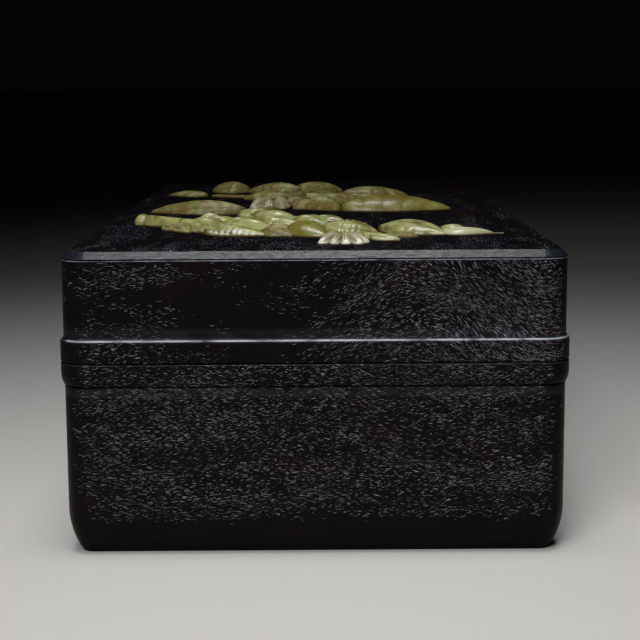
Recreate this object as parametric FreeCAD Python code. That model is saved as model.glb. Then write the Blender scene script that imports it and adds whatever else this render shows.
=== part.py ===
"""Ink stick and stone box: a lidded hardwood case with a carved relief inlaid in its lid.

The case is a base and a lift-off lid that meet in a raised double band. Each is four mitred
walls held by hidden corner keys, closed by a panel. A liner inside the base stands up past
the seam as the lip that locates the lid. The base holds an inkstone in a fitted bed, and a
lift-out tray with two ink sticks rests on rails above it. The lid's relief is a flowering
branch of separately carved pieces, each keyed into the top panel by a shallow root.

Frame: millimetres, origin at the middle of the base's underside, +X across the width,
+Y along the length away from the front end, +Z up.
"""
import FreeCAD, Part
import math
import os

V = FreeCAD.Vector
UP = V(0, 0, 1)

# ---- case, outside ---------------------------------------------------------------------
box_width = 100.0          # X, over the plain faces of the walls
box_length = 215.0         # Y, over the plain faces of the walls
corner_radius = 5.0        # upright corners, in plan
base_height = 38.8         # floor to the seam
lid_wall_height = 20.6     # seam to the underside of the top panel's edge
panel_edge = 1.6           # height of the top panel's visible edge, bevel included
panel_bevel = 1.4          # flat 45 degree bevel round the top
foot_draw_in = 2.7         # how far the walls draw in at the floor
foot_draw_height = 9.0     # height over which they do so

# ---- the raised band at the seam --------------------------------------------------------
band_proud = 0.7           # how far it stands out from the walls
band_below = 4.4           # height on the base
band_above = 4.7           # height on the lid
band_round = 2.2           # height of the lower edge's rounding
band_foot = 0.15           # square step left under that rounding
cove_height = 0.8          # hollow above the band where the lid's wall runs out to it
band_shoulder = 0.45       # rounding of the band's upper edge
seam_arris = 0.18          # broken edge on each side of the seam
seam_line = 0.22           # height of the shadow line between the two bands
seam_line_depth = 1.4      # how far that line runs in
quirk_height = 0.34        # groove in the wall right under the band
quirk_depth = 0.5

# ---- walls and joinery ------------------------------------------------------------------
wall = 7.0                 # base wall thickness
lip_clearance = 0.25       # between the lip and the lid's walls, each side
mitre_reach = 12.0         # how far the mitre planes run in from the outside
key_thick = 1.5            # hidden corner key, along the mitre
key_wide = 3.6             # across the mitre
key_inset = 3.2            # from the inner corner to the key's middle, along the mitre
key_end = 5.0              # wood left above and below a key
key_clearance = 0.05

# ---- bottom and top panels --------------------------------------------------------------
bottom_rise = 1.5          # underside of the bottom panel above the floor
bottom_thick = 5.0
tongue = 3.0               # the bottom panel's tongue: its reach into the walls
tongue_thick = 3.0
tongue_drop = 1.0          # from the panel's underside to the tongue's underside
panel_clearance = 0.1      # round the top panel's plug and the bottom panel's tongue
top_thick = 6.0            # top panel, plug included

# ---- lip, rails and bed -----------------------------------------------------------------
lip_thick = 2.4
lip_rise = 5.0             # how far the lip stands above the seam
lip_lead = 0.6             # lead-in chamfer
bed_thick = 9.0
bed_clearance = 0.1
well_depth = 6.0           # how deep the inkstone sits in its bed
well_corner = 4.0
finger_radius = 11.0       # half-round finger hollows at the ends of the well
rail_wide = 3.0
rail_thick = 3.0

# ---- inkstone ---------------------------------------------------------------------------
stone_width = 66.0
stone_length = 148.0
stone_height = 22.0
stone_corner = 3.6
stone_clearance = 0.4      # in the well, each side
stone_border = 5.0         # raised border round the grinding hall
stone_end_border = 7.0
hall_depth = 1.6           # grinding hall below the border
hall_fall = 0.6            # how much further it falls towards the pool
hall_corner = 5.6          # plan rounding of the hall and the pool
pool_depth = 9.0           # deepest part of the ink pool
pool_length = 26.0
pool_slope = 22.0          # length of the slope from the hall down to the pool
stone_arris = 1.2
stone_foot = 8.0           # width of the rim the stone stands on
stone_foot_rise = 1.5

# ---- lift-out tray ----------------------------------------------------------------------
tray_gap = 1.7             # from the inkstone's top to the tray's underside
tray_clearance = 0.4       # between the tray and the lip, each side
tray_board = 3.0
tray_floor_thick = 3.0
tray_height = 12.5
tray_joint = 0.05          # glue gap round the tray's floor
thumb_radius = 13.0        # thumb notch in each end of the tray
thumb_depth = 7.5
rack_deep = 12.0           # the two notched racks that hold the sticks, along Y
rack_height = 7.0
rack_from_middle = 42.0
notch_depth = 5.0
notch_clearance = 0.4

# ---- ink sticks -------------------------------------------------------------------------
stick_length = 120.0
stick_width = 26.0
stick_thick = 11.0
stick_corner = 5.0         # plan rounding of the stick's ends
stick_arris = 0.8
stick_panel_border = 3.2   # plain border round the sunk panel on each face
stick_panel_depth = 0.5
stick_spacing = 36.0       # between the two sticks' middles

# ---- inlay ------------------------------------------------------------------------------
root_depth = 0.8           # how deep each carved piece is keyed into the top panel
root_clearance = 0.05
stalk_width = 2.1          # a piece up to this wide has no root
flat_below = 12.0          # a piece shorter than this is cut in flat facets
root_share = 0.2           # the root's half length and half width against the piece's
boss_root_share = 0.5      # a round root's radius against its boss's
edge_lift = 0.5            # height of a leaf's edge above the panel
inlay_gap = 0.12           # glue line between two carved pieces that meet
relief_clear = 8.0         # taller than any carved piece
relief_aspect = 2.15       # length against width of the panel that the relief is laid out on
relief_parts = 100.0       # the relief's places and sizes are in hundredths of that panel's width

# ---- cutting ----------------------------------------------------------------------------
over = 1.0                 # how far a cutting form runs past the face that it opens

# ---- worked out from the above ----------------------------------------------------------
half_w = box_width / 2
half_l = box_length / 2
inner_w = half_w - wall
inner_l = half_l - wall
lid_inner_w = inner_w + lip_clearance
lid_inner_l = inner_l + lip_clearance
lid_top = base_height + lid_wall_height
top_z = lid_top + panel_edge
floor_z = bottom_rise + bottom_thick
liner_w = inner_w - lip_thick
liner_l = inner_l - lip_thick
lip_top = base_height + lip_rise
well_floor = floor_z + bed_thick - well_depth
stone_top = well_floor + stone_height
tray_z = stone_top + tray_gap
tray_w = liner_w - tray_clearance
tray_l = liner_l - tray_clearance
tray_deck = tray_z + tray_floor_thick
stick_z = tray_deck + rack_height - notch_depth
relief_scale = min(box_width, box_length / relief_aspect) / relief_parts


# ---- helpers ----------------------------------------------------------------------------
def block(x0, x1, y0, y1, z0, z1):
    """A box between two corners."""
    return Part.makeBox(x1 - x0, y1 - y0, z1 - z0, V(x0, y0, z0))


def centred(half_x, half_y, z0, z1):
    """A box centred on the Z axis."""
    return block(-half_x, half_x, -half_y, half_y, z0, z1)


def upright(edge):
    """True for an edge that runs straight up."""
    points = [v.Point for v in edge.Vertexes]
    if len(points) != 2:
        return False
    run = points[1] - points[0]
    return abs(run.x) < 1e-6 and abs(run.y) < 1e-6


def level(edge, z):
    """True for an edge that lies at one height."""
    return all(abs(v.Point.z - z) < 1e-6 for v in edge.Vertexes)


def rounded_block(half_x, half_y, z0, z1, radius):
    """A centred box with rounded upright corners."""
    body = centred(half_x, half_y, z0, z1)
    return body.makeFillet(radius, [e for e in body.Edges if upright(e)])


def arc_through(a, b, c):
    """A circular edge through three points."""
    return Part.Arc(a, b, c).toShape()


def tangent_arc_mid(start, end, radius):
    """The middle of a short arc that leaves start straight up or down and ends at end."""
    side = 1.0 if end.x > start.x else -1.0
    centre = V(start.x + side * radius, 0, start.z)
    turn = math.atan2(abs(end.z - start.z), radius - abs(end.x - start.x)) / 2
    rise = math.copysign(radius * math.sin(turn), end.z - start.z)
    return V(centre.x - side * radius * math.cos(turn), 0, centre.z + rise)


def tangent_radius(run, rise):
    """Radius of an arc that starts straight up and moves run sideways over rise."""
    return (run * run + rise * rise) / (2 * abs(run))


# ---- outer forms ------------------------------------------------------------------------
def base_outline():
    """The base wall's outside, from the floor to the seam: x is how far out it stands."""
    foot = V(-foot_draw_in, 0, 0)
    spring = V(0, 0, foot_draw_height)
    foot_mid = tangent_arc_mid(spring, foot, tangent_radius(foot_draw_in, foot_draw_height))
    band_z = base_height - band_below
    quirk_low = V(0, 0, band_z - quirk_height)
    quirk_in = V(-quirk_depth, 0, band_z - quirk_height)
    quirk_high = V(-quirk_depth, 0, band_z)
    ledge_out = V(band_foot, 0, band_z)
    face_low = V(band_proud, 0, band_z + band_round)
    round_mid = tangent_arc_mid(face_low, ledge_out, tangent_radius(band_proud - band_foot, band_round))
    face_high = V(band_proud, 0, base_height - seam_arris)
    seam = V(band_proud - seam_arris, 0, base_height)
    return [
        arc_through(foot, foot_mid, spring),
        Part.makeLine(spring, quirk_low),
        Part.makeLine(quirk_low, quirk_in),
        Part.makeLine(quirk_in, quirk_high),
        Part.makeLine(quirk_high, ledge_out),
        arc_through(ledge_out, round_mid, face_low),
        Part.makeLine(face_low, face_high),
        Part.makeLine(face_high, seam),
    ]


def lid_outline():
    """The lid wall's outside, from the seam to the top panel."""
    band_z = base_height + band_above
    line_z = base_height + seam_line
    line_low = V(-seam_line_depth, 0, base_height)
    line_high = V(-seam_line_depth, 0, line_z)
    seam = V(band_proud - seam_arris, 0, line_z)
    face_low = V(band_proud, 0, line_z + seam_arris)
    face_high = V(band_proud, 0, band_z - band_shoulder)
    half_out = band_proud / 2
    turn = V(half_out, 0, band_z)
    shoulder_mid = tangent_arc_mid(face_high, turn, tangent_radius(half_out, band_shoulder))
    run_out = V(0, 0, band_z + cove_height)
    cove_mid = tangent_arc_mid(run_out, turn, tangent_radius(half_out, cove_height))
    wall_top = V(0, 0, lid_top - seam_arris)
    arris = V(-seam_arris, 0, lid_top)
    return [
        Part.makeLine(line_low, line_high),
        Part.makeLine(line_high, seam),
        Part.makeLine(seam, face_low),
        Part.makeLine(face_low, face_high),
        arc_through(face_high, shoulder_mid, turn),
        arc_through(turn, cove_mid, run_out),
        Part.makeLine(run_out, wall_top),
        Part.makeLine(wall_top, arris),
    ]


def section_face(outline, reach):
    """Closes an outline into a face that runs back to x = -reach."""
    low, high = outline[0].Vertexes[0].Point, outline[-1].Vertexes[-1].Point
    back_low, back_high = V(-reach, 0, low.z), V(-reach, 0, high.z)
    corners = [high, back_high, back_low, low]
    sides = [Part.makeLine(start, end) for start, end in zip(corners, corners[1:])]
    return Part.Face(Part.Wire(outline + sides))


def outer_form(outline):
    """The solid inside an outline carried round the case's rounded plan."""
    straight_w = half_w - corner_radius
    straight_l = half_l - corner_radius
    section = section_face(outline, corner_radius)
    pieces = [centred(straight_w, straight_l, section.BoundBox.ZMin, section.BoundBox.ZMax)]
    for side in (0, 180):
        along = section.copy()
        along.translate(V(half_w, -straight_l, 0))
        run = along.extrude(V(0, 2 * straight_l, 0))
        run.rotate(V(), UP, side)
        across = section.copy()
        across.translate(V(half_l, -straight_w, 0))
        end = across.extrude(V(0, 2 * straight_w, 0))
        end.rotate(V(), UP, 90 + side)
        pieces += [run, end]
    for sx, sy, start in ((1, 1, 0), (-1, 1, 90), (-1, -1, 180), (1, -1, 270)):
        turned = section.copy()
        turned.translate(V(corner_radius, 0, 0))
        turned.rotate(V(), UP, start)
        turned.translate(V(sx * straight_w, sy * straight_l, 0))
        pieces.append(turned.revolve(V(sx * straight_w, sy * straight_l, 0), UP, 90))
    return pieces[0].multiFuse(pieces[1:]).removeSplitter()


def mitre_wedge(side, z0, z1):
    """The space that one of the four mitred walls keeps: front, back, left or right."""
    out = band_proud + over
    x_out, y_out = half_w + out, half_l + out
    x_in, y_in = half_w - mitre_reach, half_l - mitre_reach
    plans = {
        "front": [(-x_out, -y_out), (x_out, -y_out), (x_in, -y_in), (-x_in, -y_in)],
        "back": [(x_out, y_out), (-x_out, y_out), (-x_in, y_in), (x_in, y_in)],
        "left": [(-x_out, y_out), (-x_out, -y_out), (-x_in, -y_in), (-x_in, y_in)],
        "right": [(x_out, -y_out), (x_out, y_out), (x_in, y_in), (x_in, -y_in)],
    }
    points = [V(x, y, z0) for x, y in plans[side]]
    return Part.Face(Part.makePolygon(points + points[:1])).extrude(V(0, 0, z1 - z0))


def corner_keys(z0, z1, clearance=0.0):
    """Four upright keys across the mitres, as separate solids."""
    keys = []
    for sx in (-1, 1):
        for sy in (-1, 1):
            key = Part.makeBox(
                key_thick + 2 * clearance,
                key_wide + 2 * clearance,
                z1 - z0 + 2 * clearance,
                V(-key_thick / 2 - clearance, -key_wide / 2 - clearance, z0 - clearance),
            )
            key.rotate(V(), UP, math.degrees(math.atan2(sy, sx)))
            offset = key_inset / math.sqrt(2)
            key.translate(V(sx * (inner_w + offset), sy * (inner_l + offset), 0))
            keys.append(key)
    return keys


def mitred(ring, sides=("front", "back", "left", "right")):
    """Cuts a ring into its four mitred boards."""
    box = ring.BoundBox
    return {side: ring.common(mitre_wedge(side, box.ZMin - over, box.ZMax + over)) for side in sides}


# ---- base -------------------------------------------------------------------------------
def base_walls():
    """Four mitred walls with a groove for the bottom panel and slots for the keys."""
    ring = outer_form(base_outline()).cut(centred(inner_w, inner_l, -over, base_height + over))
    groove_z = bottom_rise + tongue_drop
    ring = ring.cut(centred(inner_w + tongue, inner_l + tongue, groove_z, groove_z + tongue_thick))
    ring = ring.cut(Part.Compound(corner_keys(*base_key_span(), clearance=key_clearance)))
    return mitred(ring)


def base_key_span():
    """Lowest and highest point of the base's corner keys."""
    return floor_z + key_end, base_height - key_end


def bottom_panel():
    """The floor of the case, with a tongue all round that sits in the walls' groove."""
    plate = centred(inner_w, inner_l, bottom_rise, floor_z)
    tongue_z = bottom_rise + tongue_drop + panel_clearance / 2
    reach = tongue - panel_clearance
    return plate.fuse(
        centred(inner_w + reach, inner_l + reach, tongue_z, tongue_z + tongue_thick - panel_clearance)
    ).removeSplitter()


def lip_strips():
    """The liner: four mitred strips inside the base that stand up past the seam."""
    outside = centred(inner_w, inner_l, floor_z, lip_top)
    outside = outside.makeChamfer(lip_lead, [e for e in outside.Edges if level(e, lip_top)])
    return mitred(outside.cut(centred(liner_w, liner_l, floor_z - over, lip_top + over)))


def stone_bed():
    """A board that fills the floor, with a fitted well and a finger hollow at each end."""
    board = centred(liner_w - bed_clearance, liner_l - bed_clearance, floor_z, floor_z + bed_thick)
    half_x = stone_width / 2 + stone_clearance
    half_y = stone_length / 2 + stone_clearance
    board = board.cut(rounded_block(half_x, half_y, well_floor, floor_z + bed_thick + over, well_corner))
    for side in (-1, 1):
        hollow = Part.makeCylinder(finger_radius, bed_thick, V(0, side * half_y, well_floor))
        board = board.cut(hollow)
    return board


def tray_rails():
    """Two rails on the long sides of the liner that carry the tray."""
    rails = {}
    for name, side in (("tray_rail_left", -1), ("tray_rail_right", 1)):
        x0, x1 = sorted((side * liner_w, side * (liner_w - rail_wide)))
        rails[name] = block(x0, x1, -liner_l, liner_l, tray_z - rail_thick, tray_z)
    return rails


# ---- lid --------------------------------------------------------------------------------
def lid_walls():
    """Four mitred walls, thinner than the base's by the lip's clearance."""
    hollow = centred(lid_inner_w, lid_inner_l, base_height - over, lid_top + over)
    ring = outer_form(lid_outline()).cut(hollow)
    ring = ring.cut(Part.Compound(corner_keys(*lid_key_span(), clearance=key_clearance)))
    return mitred(ring)


def lid_key_span():
    """Lowest and highest point of the lid's corner keys."""
    return base_height + key_end, lid_top - key_end


def top_panel(roots):
    """The lid's top: a bevelled edge over the walls, a plug inside them, and the inlay's pockets."""
    edge = rounded_block(half_w, half_l, lid_top, top_z, corner_radius)
    edge = edge.makeChamfer(panel_bevel, [e for e in edge.Edges if level(e, top_z)])
    plug = centred(
        lid_inner_w - panel_clearance, lid_inner_l - panel_clearance, top_z - top_thick, lid_top
    )
    return edge.fuse(plug).removeSplitter().cut(Part.Compound(roots))


# ---- inkstone ---------------------------------------------------------------------------
def inkstone():
    """A rectangular stone: raised border, grinding hall, a slope and a deep ink pool."""
    half_x, half_y = stone_width / 2, stone_length / 2
    body = rounded_block(half_x, half_y, 0, stone_height, stone_corner)
    body = body.makeChamfer(stone_arris, [e for e in body.Edges if level(e, stone_height) or level(e, 0)])
    hall_z = stone_height - hall_depth
    pool_z = stone_height - pool_depth
    near, far = -half_y + stone_end_border, half_y - stone_end_border
    slope_low = far - pool_length
    slope_high = slope_low - pool_slope
    side = [
        V(0, near, stone_height + over),
        V(0, near, hall_z),
        V(0, slope_high, hall_z - hall_fall),
        V(0, slope_low, pool_z),
        V(0, far, pool_z),
        V(0, far, stone_height + over),
    ]
    trough = Part.Face(Part.makePolygon(side + side[:1])).extrude(V(stone_width, 0, 0))
    trough.translate(V(-half_x, 0, 0))
    plan = rounded_block(half_x - stone_border, far, 0, stone_height + 2 * over, hall_corner)
    body = body.cut(trough.common(plan))
    body = body.cut(
        rounded_block(half_x - stone_foot, half_y - stone_foot, -over, stone_foot_rise, stone_corner)
    )
    body.translate(V(0, 0, well_floor))
    return body


# ---- tray and ink sticks ----------------------------------------------------------------
def tray_boards():
    """The tray's two long and two end boards; the ends are notched for the thumbs."""
    z1 = tray_z + tray_height
    boards = {}
    for name, side in (("tray_left", -1), ("tray_right", 1)):
        x0, x1 = sorted((side * tray_w, side * (tray_w - tray_board)))
        boards[name] = block(x0, x1, -tray_l, tray_l, tray_z, z1)
    notch_up = z1 + thumb_radius - thumb_depth
    for name, side in (("tray_front", -1), ("tray_back", 1)):
        y0, y1 = sorted((side * tray_l, side * (tray_l - tray_board)))
        board = block(-tray_w + tray_board, tray_w - tray_board, y0, y1, tray_z, z1)
        notch_end = V(0, y0 - tray_board / 2, notch_up)
        notch = Part.makeCylinder(thumb_radius, tray_board * 2, notch_end, V(0, 1, 0))
        boards[name] = board.cut(notch)
    return boards


def tray_floor():
    """The tray's floor, glued inside its four boards."""
    inset = tray_board + tray_joint
    return centred(tray_w - inset, tray_l - inset, tray_z, tray_deck)


def stick_racks():
    """Two cross bars with a notch for each ink stick."""
    racks = {}
    half_x = tray_w - tray_board
    rack_top = tray_deck + rack_height
    for name, side in (("stick_rack_front", -1), ("stick_rack_back", 1)):
        middle = side * rack_from_middle
        bar = block(-half_x, half_x, middle - rack_deep / 2, middle + rack_deep / 2, tray_deck, rack_top)
        for x in (-stick_spacing / 2, stick_spacing / 2):
            half = stick_width / 2 + notch_clearance
            y0, y1 = middle - rack_deep, middle + rack_deep
            bar = bar.cut(block(x - half, x + half, y0, y1, stick_z, rack_top + over))
        racks[name] = bar
    return racks


def ink_stick(x):
    """A moulded stick of ink with a sunk panel in its upper and lower face."""
    half_x, half_y = stick_width / 2, stick_length / 2
    body = rounded_block(half_x, half_y, 0, stick_thick, stick_corner)
    body = body.makeChamfer(stick_arris, [e for e in body.Edges if level(e, stick_thick) or level(e, 0)])
    inset_x, inset_y = half_x - stick_panel_border, half_y - stick_panel_border
    corner = stick_corner - stick_panel_border / 2
    for z0, z1 in ((stick_thick - stick_panel_depth, stick_thick + over), (-over, stick_panel_depth)):
        body = body.cut(rounded_block(inset_x, inset_y, z0, z1, corner))
    body.translate(V(x, 0, stick_z))
    return body


# ---- carved relief ----------------------------------------------------------------------
class Blade:
    """A carved piece laid along a bent spine: a leaf, petal, pod, bud or length of branch.

    base and angle place it, bend is how far its spine bows to the left, and shape says how
    its half-width and height run from base to tip. A fold is a valley along a leaf's middle.
    Petals, branches and short pieces are cut in flat facets, all others in curved ones.
    A piece has a root unless it is as narrow as a stalk.
    """

    FLAT = ("petal", "branch")
    STATIONS = (0.0, 0.16, 0.5, 0.82, 1.0)
    SHARES = {
        "leaf": ((0.04, 0.34), (0.66, 0.80), (1.00, 1.00), (0.52, 0.64), (0.04, 0.16)),
        "petal": ((0.36, 0.46), (0.58, 0.80), (0.80, 1.00), (0.84, 0.74), (0.40, 0.30)),
        "pod": ((0.10, 0.36), (0.70, 0.80), (1.00, 1.00), (0.66, 0.66), (0.08, 0.18)),
        "bud": ((0.10, 0.30), (0.88, 0.80), (0.84, 1.00), (0.26, 0.52), (0.04, 0.14)),
        "branch": ((0.84, 0.80), (1.00, 1.00), (0.88, 0.90), (0.72, 0.76), (0.46, 0.48)),
    }

    def __init__(self, base, angle, length, width, height, bend=0.0, fold=0.0, shape="leaf"):
        self.base = V(base[0] * relief_scale, base[1] * relief_scale, top_z)
        self.angle = math.radians(angle)
        self.length, self.width, self.height = (relief_scale * size for size in (length, width, height))
        self.bend, self.fold = relief_scale * bend, relief_scale * fold
        self.shape = shape

    def grown(self, gap):
        """A copy that is larger all round in plan."""
        copy = Blade((0, 0), 0, 0, 0, 0, shape=self.shape)
        along = V(math.cos(self.angle), math.sin(self.angle), 0)
        copy.base, copy.angle = self.base - along * gap, self.angle
        copy.length, copy.width, copy.height = self.length + 2 * gap, self.width + 2 * gap, self.height
        copy.bend, copy.fold = self.bend, self.fold
        return copy

    def point(self, t, across=0.0, up=0.0):
        """A point at share t of the spine, across it to the left, and up from the panel."""
        bow = 4 * self.bend * t * (1 - t)
        lean = math.atan(4 * self.bend * (1 - 2 * t) / self.length)
        x = t * self.length - across * math.sin(lean)
        y = bow + across * math.cos(lean)
        c, s = math.cos(self.angle), math.sin(self.angle)
        return V(self.base.x + x * c - y * s, self.base.y + x * s + y * c, self.base.z + up)

    def section(self, t, wide, high):
        """The closed cross-section at t: a flat foot, upright edges and carved facets."""
        half = wide * self.width / 2
        crown = high * self.height
        edge = min(edge_lift, 0.5 * crown)
        if self.fold:
            top = ((-0.56, 0.92 * crown), (0, crown - self.fold * high), (0.56, 0.92 * crown))
        else:
            top = ((-0.42, crown), (0.42, crown))
        outline = ((1, 0), (-1, 0), (-1, edge), *top, (1, edge))
        points = [self.point(t, side * half, up) for side, up in outline]
        return Part.makePolygon(points + points[:1])

    def body(self):
        """The carved solid above the panel."""
        shares = zip(self.STATIONS, self.SHARES[self.shape])
        sections = [self.section(t, wide, high) for t, (wide, high) in shares]
        flat = self.shape in self.FLAT or self.length < relief_scale * flat_below
        return Part.makeLoft(sections, True, flat)

    def footprint(self, gap):
        """The space that the piece's outline keeps free of the pieces beside it."""
        low = V(0, 0, -root_depth - over)
        feet = []
        for face in self.grown(gap).body().Faces:
            if abs(face.CenterOfMass.z - top_z) < 1e-3:
                prism = face.extrude(V(0, 0, root_depth + relief_clear))
                prism.translate(low)
                feet.append(prism)
        return Part.Compound(feet)

    def root(self, clearance=0.0):
        """The square tenon under the piece's middle, or its pocket."""
        half = root_share * self.width + clearance
        reach = root_share * self.length + clearance
        tenon = block(-reach, reach, -half, half, -root_depth - clearance, 0)
        tenon.rotate(V(), UP, math.degrees(self.angle))
        tenon.translate(self.point(0.5))
        return tenon

    def solid(self):
        """The carved piece with its root."""
        body = self.body()
        return body.fuse(self.root()).removeSplitter() if self.rooted() else body

    def rooted(self):
        """Whether the piece is wide enough for a root."""
        return self.width > relief_scale * stalk_width


class Boss:
    """A domed piece: a blossom's seed head or the cut end of the branch."""

    def __init__(self, centre, radius, height):
        self.centre = V(centre[0] * relief_scale, centre[1] * relief_scale, top_z)
        self.radius, self.height = relief_scale * radius, relief_scale * height
        self.ball_radius = (self.radius ** 2 + self.height ** 2) / (2 * self.height)

    def footprint(self, gap):
        """The space that the dome's widest outline keeps free of the pieces beside it."""
        widest = self.ball_radius if self.height > self.ball_radius else self.radius
        low = self.centre - V(0, 0, root_depth + over)
        return Part.makeCylinder(widest + gap, root_depth + relief_clear, low)

    def root(self, clearance=0.0):
        """The round root under the dome, or its pocket."""
        depth = root_depth + clearance
        radius = self.radius * boss_root_share + clearance
        return Part.makeCylinder(radius, depth, self.centre - V(0, 0, depth))

    def rooted(self):
        """A dome always has a root."""
        return True

    def solid(self):
        """The dome with its root."""
        ball = Part.makeSphere(self.ball_radius, self.centre + V(0, 0, self.height - self.ball_radius))
        cap = ball.common(centred(half_w, half_l, top_z, top_z + self.height + over))
        return cap.fuse(self.root()).removeSplitter()


def blossom(centre, heading, count, inner, length, width, height, spread):
    """Petals fanned about a centre, from an inner radius out; a spread of 360 closes the ring."""
    blades = []
    for i in range(count):
        share = i / count if spread >= 360 else i / (count - 1) - 0.5
        angle = heading + spread * share
        x = centre[0] + inner * math.cos(math.radians(angle))
        y = centre[1] + inner * math.sin(math.radians(angle))
        blades.append(Blade((x, y), angle, length, width, height, shape="petal"))
    return blades


def branch(*places):
    """A length of branch, or several that make one piece: each place is a Blade's."""
    return [Blade(*place, shape="branch") for place in places]


def branches():
    """The cut branch, its forks and the stalks of the leaves, from the knob at the front left."""
    return {
        "branch_knob": [Boss((-39.9, -47.2), 2.13, 2.4)],
        "branch_front": branch(((-37.8, -50.0), -34.5, 18.8, 4.0, 2.4, -0.4)),
        "branch_lower": branch(((-19.0, -64.6), -16, 18.0, 3.0, 2.0, -0.4)),
        "branch_middle": branch(
            ((-14.5, -52.0), 84, 40.0, 3.4, 2.2, 1.2),
            ((-13.4, -22.6), 162, 3.6, 2.4, 1.8, 0.0),
            ((-11.8, -38.6), -12, 11.0, 1.8, 1.3, 0.0),
        ),
        "branch_upper": branch(
            ((-11.0, 5.6), 78, 44.0, 3.6, 2.6, -2.2),
            ((-6.2, 30.6), 158.5, 25.4, 1.8, 1.1, 1.0),
            ((-2.4, 50.2), 107, 11.6, 2.0, 1.6, -0.4),
            ((-1.4, 31.4), 10, 8.6, 2.0, 1.6, 0.0),
            ((-6.4, 12.6), 12, 6.4, 2.0, 1.5, 0.0),
        ),
        "twig_front": branch(
            ((2.4, -77.0), -72, 11.4, 2.4, 1.8, 0.4),
            ((6.0, -81.4), 9, 8.6, 1.6, 1.1, 0.0),
            ((7.6, -86.6), 8, 4.0, 1.6, 1.1, 0.0),
        ),
        "twig_right": branch(((-5.2, -4.2), -36, 14.2, 4.6, 2.6, 0.4)),
    }


def blossoms():
    """A half-open blossom at the front and an open one behind it."""
    return {
        "seed_head": [Boss((-11.8, -3.0), 1.44, 2.6)],
        "petals_front": blossom((5.9, -89.8), 270, 5, 1.3, 6.4, 3.0, 2.1, 72),
        "petals_rear": [
            *blossom((-11.8, -3.0), 90, 6, 1.3, 4.4, 3.8, 2.9, 360),
            Blade((-7.2, 2.0), 70, 12.0, 4.6, 2.4, shape="petal"),
        ],
    }


def pods():
    """Plump pods and a pointed bud."""
    return {
        "pod_front": [Blade((-5.9, -71.4), -47, 12.6, 8.2, 3.1, 0.6, shape="pod")],
        "pod_rear": [Blade((6.9, -13.0), 6, 28.5, 11.0, 4.0, 1.6, shape="pod")],
        "bud_front": [Blade((27.4, -75.8), 2, 11.2, 4.6, 1.6, -0.5, shape="bud")],
    }


def front_leaves():
    """The small, crowded leaves along the front of the spray."""
    return {
        "leaf_front_1": [
            Blade((-33.8, -58.4), -66, 9.0, 4.0, 1.9, 0.3),
            Blade((-30.8, -60.4), -72, 11.5, 4.6, 2.3, 0.4),
            Blade((-27.4, -62.8), -62, 9.4, 4.4, 2.0, 0.4),
        ],
        "leaf_front_2": [
            Blade((-24.0, -72.6), -20, 14.6, 6.4, 2.2, 0.5, 0.3),
            Blade((-11.6, -74.2), -38, 8.8, 5.4, 2.0, 0.6, 0.3),
        ],
        "leaf_front_3": [Blade((1.0, -70.4), -14, 13.2, 7.8, 2.9, 0.8, 0.4)],
        "leaf_front_4": [
            Blade((11.6, -86.0), -26, 6.8, 4.0, 1.4, 0.4),
            Blade((15.0, -80.0), -16, 7.2, 3.4, 1.2, 0.3),
        ],
        "leaf_front_5": [Blade((14.0, -69.6), -31, 16.2, 9.6, 3.0, 1.6, 0.4)],
        "leaf_front_6": [Blade((27.4, -68.4), -16, 6.6, 4.6, 1.6, 0.5)],
    }


def middle_leaves():
    """The second row, overlapping like scales between the two blossoms."""
    return {
        "leaf_mid_1": [
            Blade((-28.6, -56.0), -37, 12.0, 5.8, 2.7, 0.5),
            Blade((-26.6, -52.0), -18, 11.4, 6.6, 2.4, 0.8),
            Blade((-19.0, -31.0), -12, 10.0, 6.4, 2.4, 0.6),
        ],
        "leaf_mid_2": [
            Blade((-20.8, -58.0), -24, 10.4, 6.0, 2.7, 0.8),
            Blade((-13.6, -56.6), -28, 11.0, 7.0, 2.9, 0.8, 0.4),
        ],
        "leaf_mid_3": [
            Blade((-15.0, -42.0), -26, 13.0, 7.4, 2.9, 0.8, 0.4),
            Blade((-5.4, -55.0), -34, 11.0, 7.4, 3.0, 0.8, 0.4),
            Blade((-0.6, -41.0), -26, 8.6, 4.6, 1.6, 0.5),
        ],
    }


def rear_leaves():
    """Larger leaves along the branch, out to its end."""
    return {
        "leaf_rear_1": [Blade((-17.2, -20.6), 168, 24.8, 9.6, 3.4, -1.2, 0.5)],
        "leaf_rear_2": [Blade((-2.4, 6.0), 6, 10.4, 6.6, 2.6, 0.6)],
        "leaf_rear_3": [Blade((-31.0, 40.0), 156, 13.0, 6.0, 1.7, -0.8, 0.3)],
        "leaf_rear_4": [
            Blade((-3.7, 50.0), 161, 17.6, 8.6, 3.4, -1.0, 0.5),
            Blade((-6.4, 24.0), 165, 14.0, 7.0, 2.8, -0.8, 0.4),
        ],
        "leaf_rear_5": [Blade((7.6, 33.0), 12, 20.0, 10.0, 3.2, 1.6, 0.5)],
        "leaf_rear_6": [Blade((0.2, 14.0), 14, 15.0, 7.4, 2.6, 1.2, 0.4)],
        "leaf_rear_7": [Blade((-19.4, 57.0), 158, 12.6, 8.8, 3.4, 1.0, 0.5)],
        "leaf_rear_8": [Blade((-6.0, 62.0), -8, 14.6, 9.0, 3.0, 1.0, 0.5)],
        "leaf_rear_9": [Blade((-1.6, 39.4), 50, 16.0, 8.0, 3.0, 1.2, 0.4)],
    }


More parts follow.
